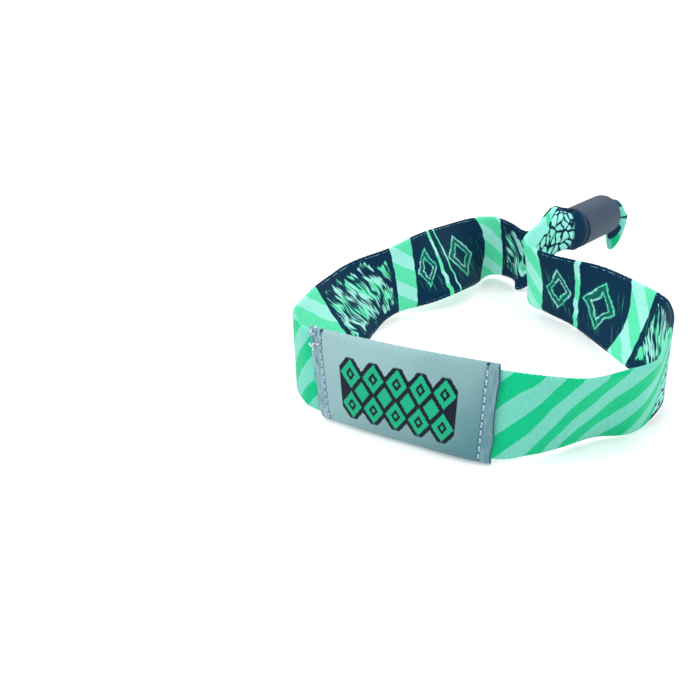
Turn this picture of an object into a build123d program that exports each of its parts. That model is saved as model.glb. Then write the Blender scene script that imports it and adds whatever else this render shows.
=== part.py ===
# Woven fabric wristband: a cloth band standing on its lower edge as a loose loop, a satin pouch
# threaded on its front, and a barrel lock that gathers both ends of the band at the back right.
# The frame is in millimetres with +Z up. The loop opens upwards, its front looks along -Y, and
# the origin is the middle of the whole wristband's outline on the surface that it stands on.

import os
from collections import namedtuple
from math import asin, cos, degrees, radians, sin, sqrt

from build123d import *

# Band: a flat woven ribbon
band_width = 15.0
band_thickness = 1.0
loop_width = 63.5
loop_depth = 71.0

# Pouch: a flat sleeve on the front of the band
pouch_length = 29.0
pouch_wall = 1.0
pouch_edge_wall = 0.8
pouch_face_clearance = 0.3
pouch_edge_clearance = 0.15
pouch_corner = 0.8

# Lock: a plain barrel that both ends of the band run through
lock_diameter = 9.0
lock_wall = 0.8
lock_length = 13.0
lock_rim_radius = 0.25
lock_clearance = 0.15
lock_height = 14.6
lock_across = 0.418
lock_deep = 0.412
lock_heading = 43.4
lock_pitch = 1.5

# Inside the lock each end of the band is squeezed into its own half of the bore
bore_radius = lock_diameter / 2 - lock_wall
gathered_thickness = 0.27 * bore_radius
gathered_radius = bore_radius - lock_clearance - gathered_thickness / 2
gathered_width = 4.03 * gathered_radius

# How finely curves are cut into flat facets
facet_count_across = 14
facet_count_between_rows = 2
pouch_section_count = 8
walk_step_count = 24

# How far the gathered cloth has turned at a share of its half width from the middle, in degrees
Turn = namedtuple("Turn", "share degrees")
GATHER_TURNS = [
    Turn(0.00, 0.0),
    Turn(0.52, 64.0),
    Turn(0.70, 180.0),
    Turn(1.00, 180.0),
]

# The loop, clockwise from above. Across and deep are shares of the loop's width and depth from its
# middle. Lift, the height of the lower edge, and lean, how far the upper edge stands out beyond
# the lower one, are shares of the band's width. Gather runs from 0, flat, to 1, as in the lock.
LoopRow = namedtuple("LoopRow", "spot across deep lift lean gather")
LOOP_ROWS = [
    LoopRow("fold beside the neck", 0.247, 0.286, 0.04, -0.19, 0.03),
    LoopRow("behind right, upper edge in", 0.286, 0.210, 0.02, -0.24, 0.0),
    LoopRow("behind right", 0.352, 0.143, 0.01, -0.14, 0.0),
    LoopRow("right, upright", 0.411, 0.072, 0.00, 0.08, 0.0),
    LoopRow("right, upper edge out", 0.476, -0.097, 0.03, 0.24, 0.0),
    LoopRow("right turn, back", 0.499, -0.181, 0.02, 0.01, 0.0),
    LoopRow("right turn, middle", 0.473, -0.267, 0.02, -0.08, 0.0),
    LoopRow("right turn, front", 0.418, -0.343, 0.01, -0.03, 0.0),
    LoopRow("front right bulge, start", 0.353, -0.410, 0.00, 0.15, 0.0),
    LoopRow("front right bulge, crest", 0.262, -0.442, 0.02, 0.26, 0.0),
    LoopRow("front right", 0.168, -0.477, 0.02, 0.24, 0.0),
    LoopRow("front, beside the pouch", 0.072, -0.498, 0.05, 0.09, 0.0),
    LoopRow("front, in the pouch", -0.031, -0.495, 0.07, -0.07, 0.0),
    LoopRow("front, in the pouch", -0.233, -0.417, 0.07, 0.00, 0.0),
    LoopRow("front left, end of the pouch", -0.432, -0.324, 0.07, 0.04, 0.0),
    LoopRow("left turn, front", -0.480, -0.267, 0.05, 0.03, 0.0),
    LoopRow("left turn, back", -0.496, -0.186, 0.02, 0.03, 0.0),
    LoopRow("left", -0.461, -0.110, 0.00, 0.17, 0.0),
    LoopRow("left, upper edge out", -0.364, 0.036, 0.05, 0.52, 0.0),
    LoopRow("left, upper edge coming in", -0.320, 0.118, 0.02, 0.46, 0.0),
    LoopRow("left hollow, front", -0.245, 0.193, 0.01, 0.14, 0.0),
    LoopRow("left hollow, back", -0.177, 0.244, 0.05, 0.11, 0.0),
    LoopRow("behind left", -0.091, 0.285, 0.14, 0.42, 0.0),
    LoopRow("behind left, crest of the lean", -0.017, 0.344, 0.18, 0.55, 0.0),
    LoopRow("behind, leaning back", 0.047, 0.422, 0.10, 0.48, 0.0),
    LoopRow("behind, turning", 0.108, 0.480, 0.03, 0.26, 0.0),
    LoopRow("behind, turn to the neck", 0.179, 0.500, 0.04, -0.13, 0.0),
    LoopRow("behind the neck", 0.238, 0.450, 0.06, -0.20, 0.05),
]

# Both ends of the band by the lock. Along is a share of the band's width, from the lock's mouth for
# a neck and from its far end for a tail, and a share of the lock's length inside it. Out is a share
# of the lock's radius from its axis, and rise, above the axis, a share of the band's width.
EndRow = namedtuple("EndRow", "spot along out rise gather")
RIGHT_NECK_ROWS = [
    EndRow("turning up from the fold", -0.676, -0.20, -0.227, 0.10),
    EndRow("crest", -0.451, 0.28, 0.010, 0.35),
    EndRow("before the mouth", -0.200, 0.76, 0.000, 0.80),
]
LEFT_NECK_ROWS = [
    EndRow("turning up", -0.490, 1.62, -0.465, 0.12),
    EndRow("rising", -0.350, 1.48, -0.350, 0.38),
    EndRow("before the mouth", -0.217, 1.29, -0.050, 0.80),
]
# Each end fills its own half of the bore, with the middle of its width against the wall
in_bore = gathered_radius / (lock_diameter / 2)
LOCK_ROWS = [
    EndRow("mouth", 0.0, in_bore, 0.0, 1.0),
    EndRow("middle", 0.5, in_bore, 0.0, 1.0),
    EndRow("far end", 1.0, in_bore, 0.0, 1.0),
]
TAIL_ROWS = [
    EndRow("out of the lock", 0.06, in_bore, 0.0, 1.0),
    EndRow("opening", 0.12, in_bore, 0.0, 1.0),
    EndRow("cut end", 0.19, in_bore, 0.0, 1.0),
]

# How the tails open. Reach is the distance beyond the lock's far end, as a share of the lock's
# radius. There the cloth stands further from the lock's axis by these shares.
Opening = namedtuple("Opening", "reach sideways up down")
TAIL_OPENINGS = [
    Opening(0.00, 0.00, 0.00, 0.00),
    Opening(0.20, 0.24, 0.16, 0.30),
    Opening(0.42, 0.36, 0.20, 1.20),
    Opening(0.70, 0.40, 0.22, 2.00),
]

# The lock's own axes: along its barrel, out to its right side and up from its axis
heading = radians(lock_heading)
pitch = radians(lock_pitch)
lock_mouth = Vector(lock_across * loop_width, lock_deep * loop_depth, lock_height)
lock_axis = Vector(cos(heading) * cos(pitch), sin(heading) * cos(pitch), sin(pitch))
lock_side = Vector(sin(heading), -cos(heading), 0)
lock_up = lock_side.cross(lock_axis)


def gather_turn(share):
    """Turn of the gathered cloth at a share of its half width from the middle."""
    for before, after in zip(GATHER_TURNS, GATHER_TURNS[1:]):
        if share <= after.share:
            way = (share - before.share) / (after.share - before.share)
            return before.degrees + (after.degrees - before.degrees) * way
    return GATHER_TURNS[-1].degrees


def cloth_line(gather):
    """Middle line across the cloth from its lower to its upper edge, as (outward, up) pairs."""
    width = band_width + (gathered_width - band_width) * gather
    step = width / facet_count_across
    half = facet_count_across // 2
    upper = [(0.0, 0.0)]
    for i in range(half):
        turn = radians(gather * gather_turn((i + 0.5) / half))
        out, up = upper[-1]
        upper.append((out - step * sin(turn), up + step * cos(turn)))
    lower = [(out, -up) for out, up in reversed(upper[1:])]
    return lower + upper


def leaned(points, lean):
    """The points of a section turned so that its upper edge leans outward by so many degrees."""
    tilt = radians(lean)
    return [(u * cos(tilt) + v * sin(tilt), v * cos(tilt) - u * sin(tilt)) for u, v in points]


def thickened(line, thickness):
    """Closed outline of a line of points with a thickness."""
    normals = []
    for (u0, v0), (u1, v1) in zip(line, line[1:]):
        length = sqrt((u1 - u0) ** 2 + (v1 - v0) ** 2)
        normals.append(((v1 - v0) / length, (u0 - u1) / length))
    outer = []
    inner = []
    for i, (u, v) in enumerate(line):
        a = normals[max(i - 1, 0)]
        b = normals[min(i, len(normals) - 1)]
        miter = 1 + a[0] * b[0] + a[1] * b[1]
        du = (a[0] + b[0]) / miter * thickness / 2
        dv = (a[1] + b[1]) / miter * thickness / 2
        outer.append((u + du, v + dv))
        inner.append((u - du, v - dv))
    return outer + inner[::-1]


def loop_rows():
    """The loop's rows as x, y, height of the cloth's middle, lean in degrees and gather."""
    rows = []
    for row in LOOP_ROWS:
        tilt = asin(row.lean)
        half_height = band_width / 2 * cos(tilt) + band_thickness / 2 * abs(sin(tilt))
        height = row.lift * band_width + half_height
        rows.append((row.across * loop_width, row.deep * loop_depth, height, degrees(tilt), row.gather))
    return rows


def end_rows(table, side, start, unit):
    """Rows on the lock's right side at 1 or its left side at -1, from a start along its axis."""
    rows = []
    for row in table:
        spot = lock_mouth + lock_axis * (start + row.along * unit)
        spot += lock_side * (side * row.out * lock_diameter / 2) + lock_up * (row.rise * band_width)
        rows.append((spot.X, spot.Y, spot.Z, 0.0, row.gather))
    return rows


def band_end(neck, side):
    """Rows of one end of the band, from its neck through the lock to its cut end."""
    in_neck = end_rows(neck, side, 0.0, band_width)
    in_lock = end_rows(LOCK_ROWS, side, 0.0, lock_length)
    return in_neck + in_lock + end_rows(TAIL_ROWS, side, lock_length, band_width)


def between(rows, row, share):
    """Values on a smooth curve through the rows, a share of the way on from one row."""
    before = rows[max(row - 1, 0)]
    start = rows[row]
    end = rows[min(row + 1, len(rows) - 1)]
    after = rows[min(row + 2, len(rows) - 1)]
    values = []
    for a, b, c, d in zip(before, start, end, after):
        bend = 2 * a - 5 * b + 4 * c - d + share * (3 * (b - c) + d - a)
        values.append(b + 0.5 * share * (c - a + share * bend))
    return values


def section(rows, row, share):
    """Place, plan direction, lean and gather of the band a share of the way on from one row."""
    here = between(rows, row, share)
    ahead = between(rows, min(row + 1, len(rows) - 1), share)
    back = between(rows, row - 1, share) if row else rows[0]
    run = Vector(ahead[0] - back[0], ahead[1] - back[1], 0).normalized()
    return Vector(*here[:3]), run, here[3], min(here[4], 1.0)


def opened(point):
    """A point of the cloth moved away from the lock's axis, where it is beyond the far end."""
    from_mouth = point - lock_mouth
    reach = (from_mouth.dot(lock_axis) - lock_length) / (lock_diameter / 2)
    if reach <= 0:
        return point
    grown = TAIL_OPENINGS[-1]
    for before, after in zip(TAIL_OPENINGS, TAIL_OPENINGS[1:]):
        if reach <= after.reach:
            way = (reach - before.reach) / (after.reach - before.reach)
            grown = Opening(*[a + (b - a) * way for a, b in zip(before, after)])
            break
    sideways = from_mouth.dot(lock_side)
    up = from_mouth.dot(lock_up)
    more_up = up * (grown.up if up > 0 else grown.down)
    return point + lock_side * (sideways * grown.sideways) + lock_up * more_up


def section_plane(place, run):
    """Upright plane across the band: X points out of the loop and Y points up."""
    return Plane(origin=place, x_dir=Vector(-run.Y, run.X, 0), z_dir=run)


# All rows of the band, from the tail of its right end round the loop to its left tail
right_end = band_end(RIGHT_NECK_ROWS, 1)[::-1]
left_end = band_end(LEFT_NECK_ROWS, -1)
rows = right_end + loop_rows() + left_end
pouch_end_row = len(right_end) + [row.spot for row in LOOP_ROWS].index("front left, end of the pouch")

stations = []
for row in range(len(rows) - 1):
    stations += [(row, i / facet_count_between_rows) for i in range(facet_count_between_rows)]
stations.append((len(rows) - 2, 1.0))
band_sections = []
for row, share in stations:
    place, run, lean, gather = section(rows, row, share)
    thickness = band_thickness + (gathered_thickness - band_thickness) * gather
    band_sections.append((place, run, thickened(leaned(cloth_line(gather), lean), thickness)))


def pouch_places():
    """Sections of the band at even steps along the pouch, back from the row that it ends at."""
    row = pouch_end_row
    previous = section(rows, row, 0.0)
    places = [previous]
    walked = 0.0
    step = pouch_length / (pouch_section_count - 1)
    while len(places) < pouch_section_count:
        row -= 1
        for i in range(walk_step_count - 1, -1, -1):
            spot = section(rows, row, i / walk_step_count)
            walked += (spot[0] - previous[0]).length
            previous = spot
            if walked >= step * len(places) and len(places) < pouch_section_count:
                places.append(spot)
    return places


def rounded_box(thickness, height, corner):
    """Outline of a flat sleeve's section with cut corners, as (outward, up) pairs."""
    u = thickness / 2
    v = height / 2
    right = [(u, corner - v), (u, v - corner), (u - corner, v)]
    left = [(corner - u, v), (-u, v - corner), (-u, corner - v)]
    return [(u - corner, -v)] + right + left + [(corner - u, -v)]


cavity_thickness = band_thickness + 2 * pouch_face_clearance
cavity_height = band_width + 2 * pouch_edge_clearance
pouch_thickness = cavity_thickness + 2 * pouch_wall
pouch_height = cavity_height + 2 * pouch_edge_wall
pouch_outline = rounded_box(pouch_thickness, pouch_height, pouch_corner)
cavity_outline = rounded_box(cavity_thickness, cavity_height, pouch_face_clearance / 2)
pouch_sections = []
cavity_sections = []
for place, run, lean, _ in pouch_places():
    pouch_sections.append((place, run, leaned(pouch_outline, lean)))
    cavity_sections.append((place, run, leaned(cavity_outline, lean)))
# The cavity is cut a little past both ends of the pouch
cut_past = 0.5
for end, way in ((0, 1), (-1, -1)):
    place, run, outline = cavity_sections[end]
    cavity_sections[end] = (place + run * (way * cut_past), run, outline)


def corners_of(place, run, outline):
    """The corners of a section's outline in space."""
    plane = section_plane(place, run)
    return [plane.from_local_coords(Vector(u, v, 0)) for u, v in outline]


band_rings = [[opened(corner) for corner in corners_of(*parts)] for parts in band_sections]

# The origin is the middle of everything's outline, on the surface
corners = [corner for ring in band_rings for corner in ring]
for parts in pouch_sections:
    corners += corners_of(*parts)
middle_x = (min(p.X for p in corners) + max(p.X for p in corners)) / 2
middle_y = (min(p.Y for p in corners) + max(p.Y for p in corners)) / 2
surface = min(p.Z for p in corners)
origin = Vector(middle_x, middle_y, surface)


def triangle(a, b, c):
    return Face(Wire.make_polygon([a, b, c], close=True))


def faceted_solid(rings):
    """Solid of flat triangles between closed outlines with equally many corners."""
    count = len(rings[0])
    faces = []
    for ring, following in zip(rings, rings[1:]):
        for i in range(count):
            j = (i + 1) % count
            faces.append(triangle(ring[i], ring[j], following[j]))
            faces.append(triangle(ring[i], following[j], following[i]))
    for ring in (rings[0], rings[-1]):
        # An outline runs up one face of the cloth and down the other, so opposite corners pair up
        for i in range(count // 2 - 1):
            near = ring[i]
            across = ring[count - 1 - i]
            faces.append(triangle(near, ring[i + 1], across))
            faces.append(triangle(ring[i + 1], ring[count - 2 - i], across))
    return Solid(Shell(faces))


# Band
with BuildPart() as band:
    add(faceted_solid([[corner - origin for corner in ring] for ring in band_rings]))
band.part.label = "band"

# Pouch
with BuildPart() as pouch:
    for place, run, outline in pouch_sections:
        with BuildSketch(section_plane(place - origin, run)):
            with BuildLine():
                Polyline(*outline, close=True)
            make_face()
    loft(ruled=True)
    for place, run, outline in cavity_sections:
        with BuildSketch(section_plane(place - origin, run)):
            with BuildLine():
                Polyline(*outline, close=True)
            make_face()
    loft(ruled=True, mode=Mode.SUBTRACT)
pouch.part.label = "pouch"

# Lock
with BuildPart() as lock:
    with BuildSketch(Plane(origin=lock_mouth - origin, x_dir=lock_side, z_dir=lock_axis)):
        Circle(lock_diameter / 2)
        Circle(bore_radius, mode=Mode.SUBTRACT)
    extrude(amount=lock_length)
    fillet(lock.edges().filter_by(GeomType.CIRCLE), lock_rim_radius)
lock.part.label = "lock"

os.makedirs("parts", exist_ok=True)
export_step(band.part, "parts/band.step")
export_step(pouch.part, "parts/pouch.step")
export_step(lock.part, "parts/lock.step")
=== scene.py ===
import random
from collections import namedtuple
from math import asin, ceil, cos, hypot, pi, radians, sin

import bpy
from mathutils import Matrix, Vector, noise


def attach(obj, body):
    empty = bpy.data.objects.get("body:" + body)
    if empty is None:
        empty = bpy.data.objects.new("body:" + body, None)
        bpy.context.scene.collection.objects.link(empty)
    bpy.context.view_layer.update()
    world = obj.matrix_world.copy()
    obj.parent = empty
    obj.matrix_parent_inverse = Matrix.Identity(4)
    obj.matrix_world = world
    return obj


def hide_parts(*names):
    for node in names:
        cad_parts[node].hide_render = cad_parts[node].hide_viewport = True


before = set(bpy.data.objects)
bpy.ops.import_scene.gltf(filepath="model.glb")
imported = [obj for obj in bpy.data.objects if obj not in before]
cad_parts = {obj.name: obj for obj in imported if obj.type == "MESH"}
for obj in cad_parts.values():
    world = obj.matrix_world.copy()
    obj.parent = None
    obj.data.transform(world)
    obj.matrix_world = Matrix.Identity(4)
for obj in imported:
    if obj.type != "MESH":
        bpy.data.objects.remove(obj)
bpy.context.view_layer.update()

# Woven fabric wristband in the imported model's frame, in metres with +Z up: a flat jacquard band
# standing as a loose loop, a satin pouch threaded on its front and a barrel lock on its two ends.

MM = 0.001

# Sizes and tables of the part's source
band_width = 15.0 * MM
band_thickness = 1.0 * MM
loop_width = 63.5 * MM
loop_depth = 71.0 * MM
pouch_length = 29.0 * MM
lock_diameter = 9.0 * MM
lock_wall = 0.8 * MM
lock_length = 13.0 * MM
lock_clearance = 0.15 * MM
lock_height = 14.6 * MM
lock_across = 0.418
lock_deep = 0.412
lock_heading = 43.4
lock_pitch = 1.5
bore_radius = lock_diameter / 2 - lock_wall
gathered_thickness = 0.27 * bore_radius
gathered_radius = bore_radius - lock_clearance - gathered_thickness / 2
gathered_width = 4.03 * gathered_radius
origin = Vector((4.61798, 3.08369, 0.0)) * MM

Turn = namedtuple("Turn", "share degrees")
GATHER_TURNS = [
    Turn(0.00, 0.0),
    Turn(0.52, 64.0),
    Turn(0.70, 180.0),
    Turn(1.00, 180.0),
]

# The loop as in the part's source. Along is the place in the woven pattern, in mm from the fold,
# and skew how far the pattern is shifted along with every mm of height.
LoopRow = namedtuple("LoopRow", "spot across deep lift lean along gather skew", defaults=(0.0, 0.0))
LOOP_ROWS = [
    LoopRow("fold beside the neck", 0.247, 0.286, 0.04, -0.19, 0.5, gather=0.03),
    LoopRow("behind right, upper edge in", 0.286, 0.21, 0.02, -0.24, 6.5),
    LoopRow("behind right", 0.352, 0.143, 0.01, -0.14, 12.9),
    LoopRow("right, upright", 0.411, 0.072, 0.0, 0.08, 19.4),
    LoopRow("right, upper edge out", 0.476, -0.097, 0.03, 0.24, 32.3),
    LoopRow("right turn, back", 0.499, -0.181, 0.02, 0.01, 38.7),
    LoopRow("right turn, middle", 0.473, -0.267, 0.02, -0.08, 45.2, skew=0.3),
    LoopRow("right turn, front", 0.418, -0.343, 0.01, -0.03, 51.6, skew=0.6),
    LoopRow("front right bulge, start", 0.353, -0.41, 0.0, 0.15, 58.7, skew=0.1),
    LoopRow("front right bulge, crest", 0.262, -0.442, 0.02, 0.26, 64.2),
    LoopRow("front right", 0.168, -0.477, 0.02, 0.24, 70.0),
    LoopRow("front, beside the pouch", 0.072, -0.498, 0.05, 0.09, 78.2),
    LoopRow("front, in the pouch", -0.031, -0.495, 0.07, -0.07, 84.0),
    LoopRow("front, in the pouch", -0.233, -0.417, 0.07, 0.0, 98.0),
    LoopRow("front left, end of the pouch", -0.432, -0.324, 0.07, 0.04, 112.3),
    LoopRow("left turn, front", -0.48, -0.267, 0.05, 0.03, 117.5),
    LoopRow("left turn, back", -0.496, -0.186, 0.02, 0.03, 123.5),
    LoopRow("left", -0.461, -0.11, 0.0, 0.17, 129.5),
    LoopRow("left, upper edge out", -0.364, 0.036, 0.05, 0.52, 141.9),
    LoopRow("left, upper edge coming in", -0.32, 0.118, 0.02, 0.46, 148.4),
    LoopRow("left hollow, front", -0.245, 0.193, 0.01, 0.14, 156.0),
    LoopRow("left hollow, back", -0.177, 0.244, 0.05, 0.11, 161.8),
    LoopRow("behind left", -0.091, 0.285, 0.14, 0.42, 168.5),
    LoopRow("behind left, crest of the lean", -0.017, 0.344, 0.18, 0.55, 175.0),
    LoopRow("behind, leaning back", 0.047, 0.422, 0.1, 0.48, 182.0),
    LoopRow("behind, turning", 0.108, 0.48, 0.03, 0.26, 188.0),
    LoopRow("behind, turn to the neck", 0.179, 0.5, 0.04, -0.13, 193.6),
    LoopRow("behind the neck", 0.238, 0.45, 0.06, -0.2, 199.0, gather=0.05),
]

EndRow = namedtuple("EndRow", "spot along out rise gather")
RIGHT_NECK_ROWS = [
    EndRow("turning up from the fold", -0.676, -0.2, -0.227, 0.1),
    EndRow("crest", -0.451, 0.28, 0.01, 0.35),
    EndRow("before the mouth", -0.2, 0.76, 0.0, 0.8),
]
LEFT_NECK_ROWS = [
    EndRow("turning up", -0.49, 1.62, -0.465, 0.12),
    EndRow("rising", -0.35, 1.48, -0.35, 0.38),
    EndRow("before the mouth", -0.217, 1.29, -0.05, 0.8),
]
in_bore = gathered_radius / (lock_diameter / 2)
LOCK_ROWS = [
    EndRow("mouth", 0.0, in_bore, 0.0, 1.0),
    EndRow("middle", 0.5, in_bore, 0.0, 1.0),
    EndRow("far end", 1.0, in_bore, 0.0, 1.0),
]
TAIL_ROWS = [
    EndRow("out of the lock", 0.06, in_bore, 0.0, 1.0),
    EndRow("opening", 0.12, in_bore, 0.0, 1.0),
    EndRow("cut end", 0.19, in_bore, 0.0, 1.0),
]

# How the cloth stands further from the lock's axis. Reach is the distance beyond the lock's far end
# or in front of its mouth, as a share of the lock's radius, and the rest are shares of the distance.
Opening = namedtuple("Opening", "reach sideways up down")
TAIL_OPENINGS = [
    Opening(0.00, 0.00, 0.00, 0.00),
    Opening(0.20, 0.24, 0.16, 0.30),
    Opening(0.42, 0.36, 0.20, 1.20),
    Opening(0.70, 0.40, 0.22, 2.50),
]
MOUTH_OPENINGS = [
    Opening(0.01, 0.00, 0.00, 0.00),
    Opening(0.05, 0.26, 0.50, 0.26),
    Opening(0.33, 0.26, 0.60, 0.26),
    Opening(0.56, 0.18, 0.78, 0.20),
    Opening(0.67, 0.12, 0.60, 0.15),
    Opening(0.78, 0.07, 0.34, 0.08),
    Opening(0.95, 0.00, 0.06, 0.00),
    Opening(1.10, 0.00, 0.00, 0.00),
]

# The left tail hangs open less than the right one, by left_hang. The cuts run askew, so that the
# upper part of a tail is shorter. Cloth gathered by less than swelling_gather isn't swollen.
left_hang = 0.35
cut_slant = 0.45
cut_slant_height = 1.2 * MM
swelling_gather = 0.3

heading = radians(lock_heading)
pitch = radians(lock_pitch)
lock_mouth = Vector((lock_across * loop_width, lock_deep * loop_depth, lock_height))
lock_axis = Vector((cos(heading) * cos(pitch), sin(heading) * cos(pitch), sin(pitch)))
lock_side = Vector((sin(heading), -cos(heading), 0))
lock_up = lock_side.cross(lock_axis)
mouth = lock_mouth - origin

# The cloth as it is seen: thinner than its solid and more so towards its softly rounded selvedges,
# whose picks stand out by turns
cloth_thickness = 0.62 * MM
selvedge_reach = 0.16 * MM
selvedge_pick = 0.05 * MM
pick_pitch = 0.8 * MM
edge_thinning = 0.55
thinning_start = 0.955

# How far the cloth strays from its middle, less between its edges, and its folds where it is gathered
stray_reach = 0.16 * MM
stray_size = 9 * MM
stray_inside = 0.35
pleat_depth = 0.14 * MM
pleat_pitch = 3.4 * MM
pleat_bend = 1.6 * MM
pleat_bend_size = 5 * MM
noise_layer = 4.7

# Steps of the band's mesh
steps_across = 30
step_along = 0.42 * MM


def gather_turn(share):
    """Turn of the gathered cloth at a share of its half width from the middle."""
    for before, after in zip(GATHER_TURNS, GATHER_TURNS[1:]):
        if share <= after.share:
            way = (share - before.share) / (after.share - before.share)
            return before.degrees + (after.degrees - before.degrees) * way
    return GATHER_TURNS[-1].degrees


def cloth_line(gather, width, steps):
    """Middle line across the cloth from its lower to its upper edge, as (outward, up) pairs."""
    step = (width + (gathered_width - width) * gather) / steps
    half = steps // 2
    upper = [(0.0, 0.0)]
    for i in range(half):
        turn = radians(gather * gather_turn((i + 0.5) / half))
        out, up = upper[-1]
        upper.append((out - step * sin(turn), up + step * cos(turn)))
    lower = [(out, -up) for out, up in reversed(upper[1:])]
    return lower + upper


def leaned(points, lean):
    """The points of a section turned so that its upper edge leans outward by so many degrees."""
    tilt = radians(lean)
    return [(u * cos(tilt) + v * sin(tilt), v * cos(tilt) - u * sin(tilt)) for u, v in points]


def loop_rows():
    """The loop's rows as x, y, height of the cloth's middle, lean, gather, along and skew."""
    rows = []
    for row in LOOP_ROWS:
        tilt = asin(row.lean)
        half_height = band_width / 2 * cos(tilt) + band_thickness / 2 * abs(sin(tilt))
        height = row.lift * band_width + half_height
        place = (row.across * loop_width, row.deep * loop_depth, height)
        rows.append((*place, tilt / radians(1), row.gather, row.along * MM, row.skew))
    return rows


def end_rows(table, side, start, unit):
    """Rows on the lock's right side at 1 or its left side at -1, from a start along its axis."""
    rows = []
    for row in table:
        spot = lock_mouth + lock_axis * (start + row.along * unit)
        spot += lock_side * (side * row.out * lock_diameter / 2) + lock_up * (row.rise * band_width)
        rows.append((*spot, 0.0, row.gather))
    return rows


def band_end(neck, side, loop_row):
    """Rows of one end of the band outward from the loop, its pattern carried on from a loop row."""
    in_neck = end_rows(neck, side, 0.0, band_width)
    in_lock = end_rows(LOCK_ROWS, side, 0.0, lock_length)
    rows = []
    last = Vector(loop_row[:3])
    along = loop_row[5]
    for row in in_neck + in_lock + end_rows(TAIL_ROWS, side, lock_length, band_width):
        along -= side * (Vector(row[:3]) - last).length
        last = Vector(row[:3])
        rows.append((*row, along, 0.0))
    return rows


def between(rows, row, share):
    """Values on a smooth curve through the rows, a share of the way on from one row."""
    before = rows[max(row - 1, 0)]
    start = rows[row]
    end = rows[min(row + 1, len(rows) - 1)]
    after = rows[min(row + 2, len(rows) - 1)]
    values = []
    for a, b, c, d in zip(before, start, end, after):
        bend = 2 * a - 5 * b + 4 * c - d + share * (3 * (b - c) + d - a)
        values.append(b + 0.5 * share * (c - a + share * bend))
    return values


Section = namedtuple("Section", "place run lean gather along skew")


def section(rows, row, share):
    """The band a share of the way on from one row."""
    here = between(rows, row, share)
    ahead = between(rows, min(row + 1, len(rows) - 1), share)
    back = between(rows, row - 1, share) if row else rows[0]
    run = Vector((ahead[0] - back[0], ahead[1] - back[1], 0)).normalized()
    gather = min(max(here[4], 0.0), 1.0)
    return Section(Vector(here[:3]) - origin, run, here[3], gather, here[5], here[6])


loop = loop_rows()
right_end = band_end(RIGHT_NECK_ROWS, 1, loop[0])[::-1]
left_end = band_end(LEFT_NECK_ROWS, -1, loop[-1])
rows = right_end + loop + left_end

band_sections = []
for row in range(len(rows) - 1):
    gap = (Vector(rows[row + 1][:3]) - Vector(rows[row][:3])).length
    count = max(2, ceil(gap / step_along))
    band_sections += [section(rows, row, i / count) for i in range(count)]
band_sections.append(section(rows, len(rows) - 2, 1.0))


def put(part, out, up):
    """Point of a section: outward from the loop and up from the middle of the cloth."""
    across = Vector((-part.run.y, part.run.x, 0))
    return part.place + across * out + Vector((0, 0, up))


def opening(table, reach):
    """Row of a table of openings at a reach, level beyond its ends."""
    if reach <= table[0].reach:
        return table[0]
    for before, after in zip(table, table[1:]):
        if reach <= after.reach:
            way = (reach - before.reach) / (after.reach - before.reach)
            return Opening(*[a + (b - a) * way for a, b in zip(before, after)])
    return table[-1]


def shaped(point, gather):
    """A point of the gathered cloth swollen before the lock's mouth and opened beyond its far end."""
    from_mouth = point - mouth
    along = from_mouth.dot(lock_axis) / (lock_diameter / 2)
    sideways = from_mouth.dot(lock_side)
    up = from_mouth.dot(lock_up)
    beyond = along - lock_length / (lock_diameter / 2)
    if beyond > 0:
        grown = opening(TAIL_OPENINGS, beyond)
        held = 1.0
        upper = min(1.0, max(0.0, up / cut_slant_height))
        point = point - lock_axis * (cut_slant * beyond * lock_diameter / 2 * upper)
    else:
        grown = opening(MOUTH_OPENINGS, -along)
        held = max(0.0, (gather - swelling_gather) / (1 - swelling_gather))
    down = grown.down if sideways > 0 else grown.down * left_hang
    more_up = up * (grown.up if up > 0 else down)
    return point + lock_side * (sideways * grown.sideways * held) + lock_up * (more_up * held)


def ripple(along, across, size, reach):
    """Smooth unevenness of cloth at a place in the pattern."""
    return reach * noise.noise(Vector((along / size, across / size, noise_layer)))


def new_object(name, materials, points, faces, places=(), looks=()):
    """Object with the place of each point in the pattern, in metres, and the material of each face."""
    mesh = bpy.data.meshes.new(name)
    mesh.from_pydata([tuple(p) for p in points], [], faces)
    mesh.update()
    for material in materials:
        mesh.materials.append(material)
    for polygon in mesh.polygons:
        polygon.use_smooth = True
    for polygon, look in zip(mesh.polygons, looks):
        polygon.material_index = look
    if places:
        layer = mesh.uv_layers.new(name="weave")
        for corner in mesh.loops:
            layer.data[corner.index].uv = places[corner.vertex_index]
    piece = bpy.data.objects.new(name, mesh)
    bpy.context.collection.objects.link(piece)
    return piece


def strip(a, b, count, turned=False):
    """Faces between two closed rings of points that start at a and b."""
    quads = [(a + i, a + (i + 1) % count, b + (i + 1) % count, b + i) for i in range(count)]
    return [quad[::-1] for quad in quads] if turned else quads


def srgb(red, green, blue):
    """Linear colour with alpha of one given as on a screen, from 0 to 255."""
    def linear(value):
        value /= 255
        return value / 12.92 if value <= 0.04045 else ((value + 0.055) / 1.055) ** 2.4
    return (linear(red), linear(green), linear(blue), 1.0)


WHITE = srgb(255, 255, 255)
BLACK = srgb(0, 0, 0)


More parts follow.
